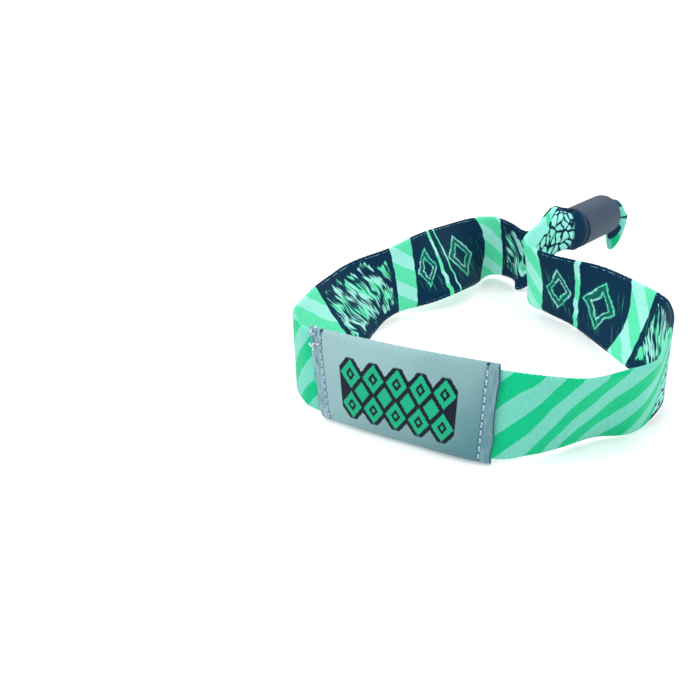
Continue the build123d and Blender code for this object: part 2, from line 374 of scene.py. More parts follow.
class Value:
    """Value in a node graph, whose arithmetic adds nodes to that graph."""

    def __init__(self, graph, socket):
        self.graph = graph
        self.socket = socket

    def __add__(self, other):
        return self.graph.math("ADD", self, other)

    def __sub__(self, other):
        return self.graph.math("SUBTRACT", self, other)

    def __rsub__(self, other):
        return self.graph.math("SUBTRACT", other, self)

    def __mul__(self, other):
        return self.graph.math("MULTIPLY", self, other)

    def __abs__(self):
        return self.graph.math("ABSOLUTE", self)

    def ramp(self, low, high):
        """Smooth step from 0 at low to 1 at high, which may be below low."""
        down = float(high < low)
        inputs = {"Value": self, "From Min": min(low, high), "From Max": max(low, high)}
        inputs |= {"To Min": down, "To Max": 1.0 - down}
        return self.graph.node("ShaderNodeMapRange", "Result", inputs, interpolation_type="SMOOTHSTEP")

    def near(self, middle, half, soft):
        """One within a half width of a middle."""
        return abs(self - middle).ramp(half + soft, max(half - soft, 0.0))

    def wave(self, pitch):
        """Sine from 0 to 1 with a pitch in the value's own unit."""
        return self.graph.math("SINE", self * (2 * pi / pitch)) * 0.5 + 0.5


class Graph:
    """Node graph of a new material or world, with short calls for what repeats."""

    def __init__(self, name, kind=bpy.data.materials):
        self.owner = kind.new(name)
        self.owner.use_nodes = True
        self.nodes = self.owner.node_tree.nodes
        self.links = self.owner.node_tree.links

    def feed(self, socket, value):
        if isinstance(value, Value):
            self.links.new(value.socket, socket)
        else:
            socket.default_value = value

    def node(self, kind, output, inputs=(), **settings):
        """Value at an output of a new node."""
        node = self.nodes.new(kind)
        for setting, value in settings.items():
            setattr(node, setting, value)
        for socket, value in dict(inputs).items():
            self.feed(node.inputs[socket], value)
        return Value(self, node.outputs[output])

    def math(self, operation, *values):
        return self.node("ShaderNodeMath", 0, enumerate(values), operation=operation)

    def most(self, values):
        """The largest of several values."""
        top = values[0]
        for value in values[1:]:
            top = self.math("MAXIMUM", top, value)
        return top

    def blend(self, share, a, b, mode="MIX"):
        """Colour between a and b, which is b at a share of 1."""
        inputs = {0: share, 6: a, 7: b}
        return self.node("ShaderNodeMix", 2, inputs, data_type="RGBA", blend_type=mode)

    def layered(self, colour, *layers):
        """A colour under further ones, each given by its share and itself."""
        for share, over in layers:
            colour = self.blend(share, colour, over)
        return colour

    def spot(self, x, y, z):
        """A vector of three values."""
        return self.node("ShaderNodeCombineXYZ", 0, enumerate((x, y, z)))

    def cloud(self, place, scale, detail):
        """Noise from 0 to 1 at a place, with about so many swings to a unit."""
        inputs = {"Vector": place, "Scale": scale, "Detail": detail}
        return self.node("ShaderNodeTexNoise", "Fac", inputs)

    def noise(self, x, y, detail, seed):
        """Noise from 0 to 1 at a place given in units of its own size."""
        return self.cloud(self.spot(x, y, seed), 1.0, detail)

    def swing(self, x, y, reach, detail, seed):
        """Noise from minus to plus a reach at a place in units of its own size."""
        return self.noise(x, y, detail, seed) * (2 * reach) - reach

    def places(self):
        """Along and across the cloth in millimetres."""
        place = {"Vector": self.node("ShaderNodeUVMap", "UV", uv_map="weave")}
        return [self.node("ShaderNodeSeparateXYZ", axis, place) * 1000.0 for axis in "XY"]

    def bump(self, height, distance, strength, below=None):
        """Bump of a height from 0 to 1 over a distance in metres."""
        inputs = {"Height": height, "Distance": distance, "Strength": strength}
        if below:
            inputs["Normal"] = below
        return self.node("ShaderNodeBump", "Normal", inputs)

    def finish(self, inputs, shader="Principled BSDF"):
        """The material or world, with the inputs of its shader."""
        for socket, value in inputs.items():
            self.feed(self.nodes[shader].inputs[socket], value)
        return self.owner


# Woven pattern, in mm: diagonal stripes, broken by navy blocks. Slope is how far a stripe's edge
# moves along with every mm of height, and phase the place of a green one at the lower edge. The
# far half of the loop has its own stripes.
Stripes = namedtuple("Stripes", "period slope phase share")
Face = namedtuple("Face", "name mint green near_half far_half")
OUTER = Face(
    "band_outer", srgb(104, 193, 174), srgb(1, 178, 122),
    Stripes(7.5, 0.833, 69.8, 0.47), Stripes(6.75, 0.833, 116.7, 0.47),
)
INNER = Face(
    "band_inner", srgb(156, 232, 218), srgb(92, 222, 172),
    Stripes(7.4, 0.9, 37.2, 0.52), Stripes(9.56, 1.4, 153.8, 0.54),
)
half_way = 98.0
cloth_height = 15.0
cloth_middle = 7.5
NAVY = srgb(0, 43, 70)
# PALE is the colour of the pale pebble figures; on the neck it also stands in for painted light
PALE = srgb(144, 228, 214)
TEAL = srgb(24, 138, 118)

# The blocks as they lie on both faces. Lean is how far an edge moves along with every mm of height
# and bow how far its middle stands out. Close tells blocks of close figures from outlined ones.
Block = namedtuple("Block", "start start_lean start_bow end end_lean end_bow close")
BLOCKS = [
    Block(5.1, 0.0, -0.8, 25.9, 0.0, 2.2, False),
    Block(32.3, 0.0, -0.4, 52.9, 0.0, 0.4, True),
    Block(139.7, -0.3, 0.0, 160.2, -0.14, 0.5, True),
    Block(164.5, 0.0, -0.4, 188.2, 0.0, 2.3, False),
    Block(195.9, -0.09, -0.5, 221.0, 0.0, 0.0, True),
]
block_edge = 0.07

# Lozenges of the outlined blocks, with the half of their length and height
Lozenge = namedtuple("Lozenge", "middle length height")
LOZENGES = [
    Lozenge(9.9, 3.0, 4.6),
    Lozenge(20.4, 4.4, 5.0),
    Lozenge(168.2, 2.6, 4.4),
    Lozenge(180.4, 5.2, 5.0),
]
lozenge_middle = 7.4
far_away = 9.0

# The right end as it shows beyond the lock, by height from its lower edge
Patch = namedtuple("Patch", "low high colour")
TAIL_PATCHES = [
    Patch(-1.0, 3.7, OUTER.mint),
    Patch(3.7, 5.3, OUTER.green),
    Patch(5.3, 7.3, OUTER.mint),
    Patch(7.3, 7.7, NAVY),
    Patch(7.7, 9.8, OUTER.mint),
    Patch(9.8, 16.0, srgb(10, 78, 88)),
]
# Gaps that show the stripes through an inner navy block from edge to edge, with their half widths
GAPS = [(14.6, 0.62), (172.4, 0.5), (174.9, 0.26)]


def diagonals(graph, stripes, along, across):
    """Share of green in a set of stripes, whose width wavers."""
    fray = graph.swing(along * 2.6, across * 2.6, 0.12, 1, 3)
    slant = along + across * stripes.slope + fray
    turns = (slant - stripes.phase) * (1 / stripes.period)
    away = abs(graph.math("FRACT", turns + 0.5) - 0.5)
    width = graph.swing(along * 0.17, across * 0.17, 0.1, 1, 5)
    return (away + width).ramp(stripes.share / 2 + 0.01, stripes.share / 2 - 0.01)


def cloth_stripes(graph, face, along, across):
    """Share of green in the diagonal stripes of a face."""
    near_half = diagonals(graph, face.near_half, along, across)
    far_half = diagonals(graph, face.far_half, along, across)
    past = graph.math("GREATER_THAN", along, half_way)
    return near_half + past * (far_half - near_half)


def block_masks(graph, along, across, inset=0.0):
    """One inside the blocks of close figures, and one inside the outlined blocks."""
    height = graph.math("SINE", across * (pi / cloth_height))
    sway = graph.noise(along * 0.05, across * 0.4, 2, 8)
    swayed = along + (sway * 0.8 - 0.4)
    close = []
    outlined = []
    for block in BLOCKS:
        start = across * block.start_lean + height * -block.start_bow
        end = across * block.end_lean + height * block.end_bow
        first = block.start + inset
        last = block.end - inset
        begun = (swayed - start).ramp(first - block_edge, first + block_edge)
        unfinished = (swayed - end).ramp(last + block_edge, last - block_edge)
        (close if block.close else outlined).append(begun * unfinished)
    return graph.most(close), graph.most(outlined)


def lozenge_distance(graph, along, across):
    """Distance from the middle of the nearest lozenge, one at its outline."""
    y = abs(across - lozenge_middle)
    nearest = far_away
    for lozenge in LOZENGES:
        x = abs(along - lozenge.middle)
        distance = x * (1 / lozenge.length) + y * (1 / lozenge.height)
        nearest = graph.math("MINIMUM", nearest, distance)
    return nearest


def pebbles(graph, along, across):
    """One on pebble-like patches with narrow gaps between them."""
    bent = along + graph.swing(along * 0.5, across * 0.5, 0.9, 1, 21)
    inputs = {"Vector": graph.spot(bent * 0.62, across * 0.44, 2.5), "Scale": 1.0, "Randomness": 0.8}
    cells = graph.node("ShaderNodeTexVoronoi", "Distance", inputs, feature="DISTANCE_TO_EDGE")
    jag = graph.swing(along * 3.0, across * 3.0, 0.035, 1, 22)
    return (cells + jag).ramp(0.095, 0.125)


def drawn_floats(graph, along, across):
    """Long ragged floats drawn askew across a close block, and the paler ones of them."""
    bend = graph.swing(along * 0.16, across * 0.2, 1.5, 1, 43)
    askew = along + across * 0.6 + bend
    broad = graph.noise(askew * 0.62, across * 0.3, 1, 44)
    thin = graph.noise(askew * 1.9, across * 0.16, 3, 42)
    level = broad * 0.7 + thin
    shown = level.ramp(0.8, 0.91)
    pale = graph.noise(askew * 2.0, across * 0.13, 1, 45)
    return shown, pale.ramp(0.5, 0.56)


def weave_bump(graph, along, across, tight):
    """Twill lines and picks of the cloth, with a slower unevenness below."""
    twill = (along * 0.8 + across * 0.6).wave(0.46)
    picks = along.wave(0.31)
    ends = across.wave(0.52)
    fine = twill * 0.55 + picks * ends * 0.45
    slow = graph.noise(along * 0.28, across * 0.33, 3, 1)
    under = graph.bump(slow, 0.00045, 0.5)
    return graph.bump(fine, 0.000055, tight, under), fine


def selvedge(graph, along, across):
    """Fine dashes of pale thread along both edges."""
    from_edge = graph.math("MINIMUM", across, cloth_height - across)
    line = from_edge.near(0.34, 0.02, 0.06)
    dashes = graph.noise(along * 1.9, across * 0.1, 2, 6)
    return line * dashes.ramp(0.46, 0.6)


def cloth_finish(graph, navy, colour, along, across):
    """Thread relief, sheen and the soft wear of the woven cloth."""
    normal, fine = weave_bump(graph, along, across, 0.75)
    shade = graph.noise(along * 0.16, across * 0.2, 3, 12)
    colour = graph.blend(shade * 0.24 - 0.06, colour, WHITE, "SOFT_LIGHT")
    speck = graph.noise(along * 3.1, across * 1.2, 2, 15)
    colour = graph.blend(speck.ramp(0.3, 0.75), graph.blend(0.9, BLACK, colour), colour)
    return graph.finish({
        "Base Color": colour,
        "Roughness": fine * -0.1 + 0.66 + navy * 0.12,
        "Normal": normal,
        "Sheen Weight": 0.07,
        "Sheen Roughness": 0.32,
        "Specular IOR Level": 0.1,
    })


def outer_cloth():
    """Right side of the cloth: pebbled navy blocks, and stripes with thin outlined lozenges."""
    graph = Graph(OUTER.name)
    along, across = graph.places()
    ground = graph.blend(cloth_stripes(graph, OUTER, along, across), OUTER.mint, OUTER.green)
    close, outlined = block_masks(graph, along, across)
    # Neck: mint with one green stripe, both painted paler than on the rest of the outer face as painted
    # light where the neck faces up towards the lamps, then a close block with a slanted edge
    by_neck = along.ramp(0.6, -0.2)
    neck_ground_painted_lighter = graph.blend(along.near(-6.4, 0.62, 0.08), PALE, srgb(60, 214, 148))
    ground = graph.blend(by_neck, ground, neck_ground_painted_lighter)
    slanted = (along + across * 1.8).ramp(16.9, 16.6)
    neck_block = slanted * by_neck * along.ramp(-29.9, -29.5)
    close = graph.math("MAXIMUM", close, neck_block)
    # Plain navy where the band enters the lock
    clear = along.ramp(-13.0, -12.2) * along.ramp(212.0, 211.0)
    figure = pebbles(graph, along, across) * across.near(cloth_middle, 6.3, 0.1) * clear
    colour = graph.blend(close * figure, ground, graph.blend(0.85, ground, PALE))
    navy = close * (1.0 - figure)
    jag = graph.swing(along * 2.4, across * 2.4, 0.05, 1, 20)
    distance = lozenge_distance(graph, along, across) + jag
    rings = graph.most([distance.near(0.95, 0.04, 0.03), distance.near(0.52, 0.05, 0.03)])
    navy = graph.math("MAXIMUM", navy, outlined * rings)
    colour = graph.blend(navy, colour, NAVY)
    patches = OUTER.mint
    for patch in TAIL_PATCHES:
        patches = graph.blend(across.ramp(patch.low - 0.1, patch.low + 0.1), patches, patch.colour)
    fold = across.near(4.6, 1.5, 0.1) * along.ramp(-32.1, -31.9)
    patches = graph.blend(fold, patches, NAVY)
    thread = selvedge(graph, along, across) * close
    colour = graph.layered(colour, (along.ramp(-29.8, -30.2), patches), (thread * 0.8, OUTER.mint))
    return cloth_finish(graph, navy, colour, along, across)


def inner_cloth():
    """Reverse of the cloth: floats and ragged outlines on the navy blocks."""
    graph = Graph(INNER.name)
    along, across = graph.places()
    ground = graph.blend(cloth_stripes(graph, INNER, along, across), INNER.mint, INNER.green)
    close, outlined = block_masks(graph, along, across)
    ragged = graph.swing(along * 3.4, across * 0.8, 0.5, 2, 32)

    # Outlined lozenges with a dim glow of threads beside them
    warped = along + (ragged + graph.swing(along * 0.2, across * 0.3, 1.0, 1, 31))
    raised = across + graph.swing(along * 0.3, across * 0.2, 0.9, 1, 33)
    distance = lozenge_distance(graph, warped, raised)
    lines = graph.most([distance.near(0.97, 0.045, 0.05), distance.near(0.58, 0.04, 0.05)])
    glow = distance.near(0.78, 0.2, 0.22)

    # Gaps that show the stripes
    sway = graph.swing(0.3, across * 0.3, 0.8, 2, 36)
    swayed = along + (sway + across * 0.05)
    gaps = []
    for middle, half in GAPS:
        width = graph.noise(across * 0.45, middle, 2, 38)
        away = abs(swayed - middle)
        gaps.append((away - width * (0.5 * half)).ramp(half * 0.8, half * 0.55))

    # Floats in the close blocks, in a field of uneven height kept off their four sides
    floats, pale = drawn_floats(graph, along, across)
    middle = graph.swing(along * 0.24, 0.0, 2.6, 1, 34)
    half = graph.swing(along * 0.36, 0.0, 3.4, 2, 35)
    frayed = graph.swing(along * 2.2, 0.0, 1.4, 2, 37)
    away = abs(across + middle - cloth_middle)
    field = (away - half + frayed).ramp(5.5, 5.0)
    off_ends, _ = block_masks(graph, along + ragged, across, 1.3)
    floats = floats * field * off_ends

    # Loose single threads across the navy
    hair = graph.noise((along + across * 0.3) * 4.2, across * 0.14, 1, 51)
    hair = hair.ramp(0.64, 0.72) * across.near(6.5, 4.6, 1.0)

    open_places = outlined * graph.most([lines] + gaps)
    navy = graph.most([close, outlined]) * (1.0 - open_places) * (1.0 - floats)
    ground = graph.blend(floats * pale, ground, INNER.mint)
    dark = graph.layered(NAVY, (glow * outlined * 0.34, TEAL), (hair * 0.4, INNER.green))
    thread = selvedge(graph, along, across) * navy
    colour = graph.layered(ground, (navy, dark), (thread * 0.6, srgb(160, 220, 210)))
    return cloth_finish(graph, navy, colour, along, across)


# Ornament on the pouch, in mm: along from its right end and across from its lower edge
ornament_pitch = 3.7
ornament_count = 5
ornament_start = 5.5
ornament_low = 2.5
ornament_row = 5.6

# Pouch: a soft sleeve of one cloth, turned in and sewn down at both ends
pouch_height = 16.6 * MM
pouch_thickness = 3.3 * MM
pouch_cloth = 0.42 * MM
hem_length = 1.8 * MM
stitch_pitch = 1.38
steps_around = 36
pouch_steps = 116
fine_steps = 400

# The sleeve is flat where it is sewn, swells over a length from each seam and is pinched at its mouths
sewn_thickness = 2.15 * MM
hem_fold = 0.14 * MM
seam_reach = 0.4 * MM
seam_sunk = 0.26 * MM
seam_drawn = 0.14 * MM
swell_length = 9.0 * MM
swell_power = 2.4
mouth_pinch = 0.4 * MM
mouth_reach = 0.3 * MM
sewn_squareness = 6.0
swollen_squareness = 3.4

# Unevenness of the sleeve, which spans two uneven_half in height, crumples of its hems and how far
# its sewn ends are pulled out of line
Uneven = namedtuple("Uneven", "size reach")
soft_swing = Uneven(7 * MM, 0.15 * MM)
hem_crumple = Uneven(1.9 * MM, 0.17 * MM)
hem_pull = Uneven(2.6 * MM, 0.3 * MM)
uneven_half = 8 * MM
crumple_stretch = 2.6
pull_length = 1.4 * MM
left_slant = 0.75 * MM
left_slant_length = 14 * MM


def satin(name, printed):
    """Grey-blue satin with sewn-down hems, on the front with a generic ornament of lozenges."""
    graph = Graph(name)
    along, across = graph.places()
    # Painted light and shade: the satin is coloured lighter towards its upper edge and its left end and
    # darker towards its lower edge and right end, as the lamps fall on it, with random tone mixed in
    side = along * 0.03 + across * 0.024
    cloud = graph.noise(along * 0.12, across * 0.16, 2, 61)
    tone_and_painted_shade = (side + cloud * 0.4).ramp(0.25, 1.1)
    colour = graph.blend(tone_and_painted_shade, srgb(70, 118, 126), srgb(126, 163, 165))
    # The satin's pale weave lines, made stronger towards the upper edge as a painted highlight where the
    # top fold catches the light
    lines = (across * 0.96 - along * 0.28).wave(0.38)
    fibre = graph.noise(along * 1.1, across * 5.0, 2, 62)
    high = across.ramp(8.0, 15.0)
    colour = graph.blend(lines * (high * 0.1 + 0.02), colour, srgb(214, 234, 236))
    ground_rough = 0.0
    if printed:
        ground, green = ornament(graph, along, across)
        colour = graph.layered(colour, (ground, srgb(0, 14, 34)), (green, srgb(8, 158, 116)))
        ground_rough = ground * 0.35

    # Hems: with lengthways creases, more on the left one, and needle holes along their seam. The creases
    # get painted highlights and painted shade, and the seam line, its needle holes and a thin line at
    # each open end are painted darker as shade.
    whole = pouch_length / MM
    end = graph.math("MINIMUM", along, whole - along)
    seam_place = hem_length / MM
    hem = end.ramp(seam_place + 0.06, seam_place - 0.06)
    creases = graph.noise(end * 2.1, across * 0.3, 2, 65)
    painted_crease_shading = hem * (graph.math("GREATER_THAN", along, whole / 2) * 0.5 + 0.3)
    holes = graph.math("FRACT", across * (1 / stitch_pitch))
    holes = holes.near(0.0, 0.2, 0.06) + holes.near(1.0, 0.2, 0.06)
    holes = holes * end.near(seam_place, 0.24, 0.06)
    colour = graph.layered(
        colour,
        (hem * 0.5, srgb(98, 136, 148)),
        # painted highlight and painted shade along the hem creases
        (painted_crease_shading * creases.ramp(0.48, 0.68), srgb(160, 186, 200)),
        (painted_crease_shading * creases.ramp(0.44, 0.34), srgb(62, 100, 126)),
        # painted shade in the sunk seam line, its needle holes and the gap at each open end
        (end.near(seam_place, 0.22, 0.14) * 0.55, srgb(44, 80, 108)),
        (holes * 0.9, srgb(20, 48, 80)),
        (end.ramp(0.22, 0.12), srgb(26, 74, 92)),
    )

    slow = graph.noise(along * 0.22, across * 0.25, 2, 64)
    under = graph.bump(slow, 0.0005, 0.4)
    under = graph.bump(hem * creases, 0.0005, 0.8, under)
    normal = graph.bump(lines * 0.7 + fibre * 0.3, 0.00003, 0.6, under)
    return graph.finish({
        "Base Color": colour,
        "Roughness": fibre * 0.14 + 0.36 + ground_rough,
        "Normal": normal,
        "Sheen Weight": 0.06,
        "Specular IOR Level": 0.22,
        "Anisotropic": 0.35,
    })


def ornament(graph, along, across):
    """Navy ground and green lozenges of the woven ornament, in two rows with smaller ones between."""
    jag = graph.swing(along * 2.6, across * 2.6, 0.09, 1, 63)
    row = (across - ornament_low) * (1 / ornament_row)
    turns = (along - ornament_start) * (1 / ornament_pitch)
    x = abs(graph.math("FRACT", turns) - 0.5)
    y = abs(graph.math("FRACT", row) - 0.5)
    distance = (x + y) * 2.0 + jag
    middle = ornament_count / 2
    # The plate is cut off along the lozenges at its border
    border = abs(row - 1.0)
    outer_half = border.ramp(0.5, 0.52) * (distance - 1.0)
    rows = row.near(1.0, 0.99, 0.03) * outer_half.ramp(0.34, 0.28)
    plate = rows * turns.near(middle, middle, 0.02)
    between_rows = row.near(1.0, 0.42, 0.02) * turns.near(middle, middle - 0.6, 0.02)
    green = graph.most([
        distance.near(0.66, 0.24, 0.03),
        distance.ramp(0.2, 0.14),
        distance.ramp(1.3, 1.36) * between_rows,
    ])
    return plate, plate * green


def yarn(name, light, dark, pitch):
    """Twisted sewing thread or yarn, by its own place along and around."""
    graph = Graph(name)
    along, across = graph.places()
    ply = (along + across * pitch).wave(pitch)
    worn = graph.noise(along * 0.8, across * 0.8, 2, 71)
    return graph.finish({
        "Base Color": graph.blend(ply * (worn * 0.8 + 0.2), dark, light),
        "Roughness": worn * 0.2 + 0.5,
        "Normal": graph.bump(ply, 0.00004, 0.8),
        "Sheen Weight": 0.25,
    })


def moulded_plastic():
    """Slate plastic with a fine matt grain and slightly rubbed patches."""
    graph = Graph("lock_plastic")
    place = graph.node("ShaderNodeTexCoord", "Object")
    grain = graph.cloud(place, 5200.0, 3.0)
    rubbed = graph.cloud(place, 210.0, 3.0)
    flow = graph.cloud(place, 60.0, 1.0)
    colour = graph.blend(flow.ramp(0.3, 0.7), srgb(40, 58, 76), srgb(38, 62, 80))
    return graph.finish({
        "Base Color": graph.blend(grain.ramp(0.4, 0.8) * 0.1, colour, srgb(100, 116, 134)),
        "Roughness": rubbed * 0.2 + 0.5,
        "Normal": graph.bump(grain, 0.00003, 0.5, graph.bump(rubbed, 0.00012, 0.25)),
        "Specular IOR Level": 0.28,
    })


def pleat(part, across):
    """Small folds of the cloth where it is being gathered."""
    depth = 4 * part.gather * (1 - part.gather)
    bend = ripple(part.along, across, pleat_bend_size, pleat_bend)
    return pleat_depth * depth * sin((across + bend) / pleat_pitch * 2 * pi)


def band_mesh():
    """Cloth with a face each way and rounded edges that waver a little, as woven edges do."""
    points, faces, places, looks = [], [], [], []
    width = band_width - 2 * (selvedge_reach + selvedge_pick)
    for part in band_sections:
        line = cloth_line(part.gather, width, steps_across)
        half = cloth_thickness / 2
        normals = []
        for i in range(len(line)):
            (u0, v0), (u1, v1) = line[max(i - 1, 0)], line[min(i + 1, len(line) - 1)]
            length = hypot(u1 - u0, v1 - v0)
            normals.append(((v1 - v0) / length, (u0 - u1) / length))
        free = 1 - part.gather
        ring = []
        marks = []
        for way in (1, -1):
            order = range(len(line)) if way == 1 else range(len(line) - 1, -1, -1)
            for i in order:
                across = band_width * i / steps_across
                edge = abs(i / steps_across - 0.5) * 2
                thick = half * (1 - edge_thinning * max(edge - thinning_start, 0) / (1 - thinning_start))
                loose = free * (stray_inside + (1 - stray_inside) * edge ** 3)
                shift = ripple(part.along, across, stray_size, stray_reach) * loose
                shift += pleat(part, across)
                u, v = line[i]
                n = normals[i]
                ring.append((u + n[0] * (way * thick + shift), v + n[1] * (way * thick + shift)))
                marks.append((part.along + part.skew * across, across))
            # Rounded selvedge between the two faces
            i = order[-1]
            u, v = line[i]
            n = normals[i]
            pick = selvedge_pick * sin(part.along / pick_pitch * 2 * pi)
            reach = (selvedge_reach + pick) * way
            edge = band_width if way == 1 else 0.0
            shift = ripple(part.along, edge, stray_size, stray_reach) * free + pleat(part, edge)
            ring.append((u + n[0] * shift - n[1] * reach, v + n[1] * shift + n[0] * reach))
            marks.append((part.along + part.skew * (edge + reach), edge + reach))
        start = len(points)
        points += [shaped(put(part, *spot), part.gather) for spot in leaned(ring, part.lean)]
        places += marks
        if start:
            faces += strip(start - len(ring), start, len(ring))
            looks += [0 if i <= steps_across else 1 for i in range(len(ring))]
    # Cut ends, from face to face and over both selvedges
    for start in (0, len(points) - len(ring)):
        top = start + steps_across
        last = start + len(ring) - 1
        caps = [(start + i, start + i + 1, last - i - 2, last - i - 1) for i in range(steps_across)]
        caps += [(top, top + 1, top + 2), (last - 1, last, start)]
        faces += [cap[::-1] for cap in caps] if start else caps
        looks += [0] * len(caps)
    return points, faces, places, looks


band = new_object("band_cloth", [outer_cloth(), inner_cloth()], *band_mesh())


def band_places(first_row, length, count):
    """Sections at even steps along the band, back from a row of the loop, found by finer steps."""
    row = first_row
    previous = section(rows, row, 0.0)
    found = [previous]
    walked = 0.0
    step = length / (count - 1)
    while len(found) < count:
        row -= 1
        for i in range(fine_steps - 1, -1, -1):
            spot = section(rows, row, i / fine_steps)
            walked += (spot.place - previous.place).length
            previous = spot
            while walked >= step * len(found) and len(found) < count:
                found.append(spot)
    return found


pouch_row = len(right_end) + [row.spot for row in LOOP_ROWS].index("front left, end of the pouch")
pouch_places = band_places(pouch_row, pouch_length, pouch_steps)[::-1]


def pouch_outline(along, inset):
    """Section of the sleeve as (outward, up, across) with soft folds at its upper and lower edge."""
    end = min(along, pouch_length - along)
    hem = 1.0 if end < hem_length else 0.0
    seam = max(0.0, 1 - abs(end - hem_length) / seam_reach)
    rise = min(1.0, max(0.0, (end - hem_length) / swell_length))
    puff = 1 - (1 - rise) ** swell_power
    thickness = sewn_thickness + (pouch_thickness - sewn_thickness) * puff
    thickness += hem * hem_fold - seam * seam_sunk
    thickness -= mouth_pinch * max(0.0, 1 - end / mouth_reach) ** 2
    height = pouch_height - seam * seam_drawn
    squareness = sewn_squareness + (swollen_squareness - sewn_squareness) * puff
    ring = []
    for i in range(2 * steps_around):
        turn = 2 * pi * (i + 0.5) / (2 * steps_around) - pi / 2
        # Corners crowd towards both folds
        up = sin(turn)
        up = up * (1.5 - 0.5 * up * up)
        half = (max(0.0, 1 - abs(up) ** squareness)) ** 0.5
        side = 1 if cos(turn) > 0 else -1
        soft = ripple(along, up * uneven_half, *soft_swing) * side * puff
        crumple = hem * ripple(end * crumple_stretch, up * uneven_half, *hem_crumple)
        u = side * half * (thickness / 2 - inset) + (soft + crumple) * half
        v = up * (height / 2 - inset)
        ring.append((u, v, (up + 1) / 2 * pouch_height))
    return ring


def hem_drift(along, up):
    """How far the cloth is pulled out of line lengthways beside its sewn ends."""
    end = min(along, pouch_length - along)
    by_left = max(0.0, 1 - (pouch_length - along) / left_slant_length)
    slant = left_slant * up / (pouch_height / 2) * by_left
    return slant + ripple(up, along, *hem_pull) * max(0.0, 1 - end / pull_length)


def pouch_mesh():
    """Sleeve of one cloth with an outer and an inner skin, joined round both open ends."""
    points, faces, places, looks = [], [], [], []
    skins = []
    for skin, inset in ((0, 0.0), (1, pouch_cloth)):
        rings = []
        for k, part in enumerate(pouch_places):
            along = pouch_length * k / (pouch_steps - 1)
            ring = pouch_outline(along, inset)
            start = len(points)
            for u, v in leaned([(u, v) for u, v, _ in ring], part.lean):
                points.append(put(part, u, v) + part.run * hem_drift(along, v))
            places += [(along, across) for _, _, across in ring]
            rings.append(start)
        count = 2 * steps_around
        for a, b in zip(rings, rings[1:]):
            faces += strip(a, b, count, skin == 1)
            looks += [0 if i < steps_around and skin == 0 else 1 for i in range(count)]
        skins.append(rings)
    for end in (0, -1):
        faces += strip(skins[1][end], skins[0][end], count, end == -1)
        looks += [1] * count
    return points, faces, places, looks


pouch_looks = [satin("pouch_front", True), satin("pouch_plain", False)]
pouch = new_object("pouch_sleeve", pouch_looks, *pouch_mesh())


thread_taper = 0.45
stitch_sides = 7
yarn_sides = 5


def threads(paths, sides):
    """Round threads along paths of points, each with its radius and tapered to its ends."""
    points, faces, places = [], [], []
    for path, radius in paths:
        start = len(points)
        along = 0.0
        for i, spot in enumerate(path):
            ahead = (path[min(i + 1, len(path) - 1)] - path[max(i - 1, 0)]).normalized()
            aside = ahead.orthogonal().normalized()
            upward = ahead.cross(aside)
            r = radius * (thread_taper if i in (0, len(path) - 1) else 1.0)
            if i:
                along += (spot - path[i - 1]).length
                faces += strip(len(points) - sides, len(points), sides)
            for k in range(sides):
                turn = 2 * pi * k / sides
                points.append(spot + aside * (r * cos(turn)) + upward * (r * sin(turn)))
                places.append((along, r * turn))
        last = len(points) - sides
        faces += [tuple(range(start, start + sides))[::-1], tuple(range(last, last + sides))]
    return points, faces, places


def pouch_surface(along, up, side, lift):
    """Point on the outer (1) or inner (-1) side of the pouch, lifted off it."""
    k = along / pouch_length * (pouch_steps - 1)
    part = pouch_places[min(max(round(k), 0), pouch_steps - 1)]
    ring = pouch_outline(along, 0.0)
    height = up * pouch_height / 2
    best = min((abs(v - height), u) for u, v, _ in ring if u * side > 0)
    out, height = leaned([(best[1] + side * lift, height)], part.lean)[0]
    return put(part, out, height) + part.run * hem_drift(along, height)


rng = random.Random(7)


def stray(reach=1.0):
    """Random step of up to a reach along each axis."""
    return Vector([rng.uniform(-reach, reach) for _ in range(3)])


# Stitches, which start at a share of their pitch and span another, slanting by up to so many mm
stitch_radius = 0.2 * MM
stitch_count = 11
stitch_start = 0.66
stitch_share = 0.72
stitch_slant = 0.16
stitch_lift = 0.12 * MM
stitch_sunk = 0.06 * MM
stitch_steps = 6


def stitch_rows():
    """Stitches along the seam of each hem, on both sides of the pouch, from hole to hole."""
    for end in (0, 1):
        for side in (1, -1):
            for i in range(stitch_count):
                slant = rng.uniform(-stitch_slant, stitch_slant) * MM
                path = []
                for k in range(stitch_steps + 1):
                    share = k / stitch_steps
                    from_end = hem_length + slant * (share - 0.5)
                    along = from_end if end == 0 else pouch_length - from_end
                    height = (i + stitch_start + stitch_share * share) * stitch_pitch * MM
                    lift = stitch_lift * sin(pi * share) - stitch_sunk
                    path.append(pouch_surface(along, height / pouch_height * 2 - 1, side, lift))
                yield path, stitch_radius


# Thread ends, with how far their start, first way and every further step may stray
wisp_steps = 7
wisp_step_share = (0.6, 1.2)
wisp_radius_share = (0.8, 1.3)
start_stray = 0.4
lead_stray = 0.9
step_stray = 0.75


def wisps(starts, count, length, radius, spread, lead):
    """Short curly thread ends that start near given points and head a given way."""
    for i in range(count):
        path = [starts[i % len(starts)] + stray(spread) * start_stray]
        way = (lead + stray() * lead_stray).normalized()
        for _ in range(wisp_steps):
            way = (way + stray() * step_stray).normalized()
            path.append(path[-1] + way * (length * rng.uniform(*wisp_step_share) / wisp_steps))
        yield path, radius * rng.uniform(*wisp_radius_share)


seam_yarn = yarn("seam_yarn", srgb(186, 208, 218), srgb(110, 146, 170), 0.5)
white_yarn = yarn("white_yarn", srgb(236, 246, 248), srgb(170, 200, 214), 0.4)
blue_yarn = yarn("blue_yarn", srgb(86, 134, 190), srgb(40, 84, 140), 0.4)
fringe_yarn = yarn("fringe_yarn", srgb(120, 222, 196), srgb(20, 110, 104), 0.4)

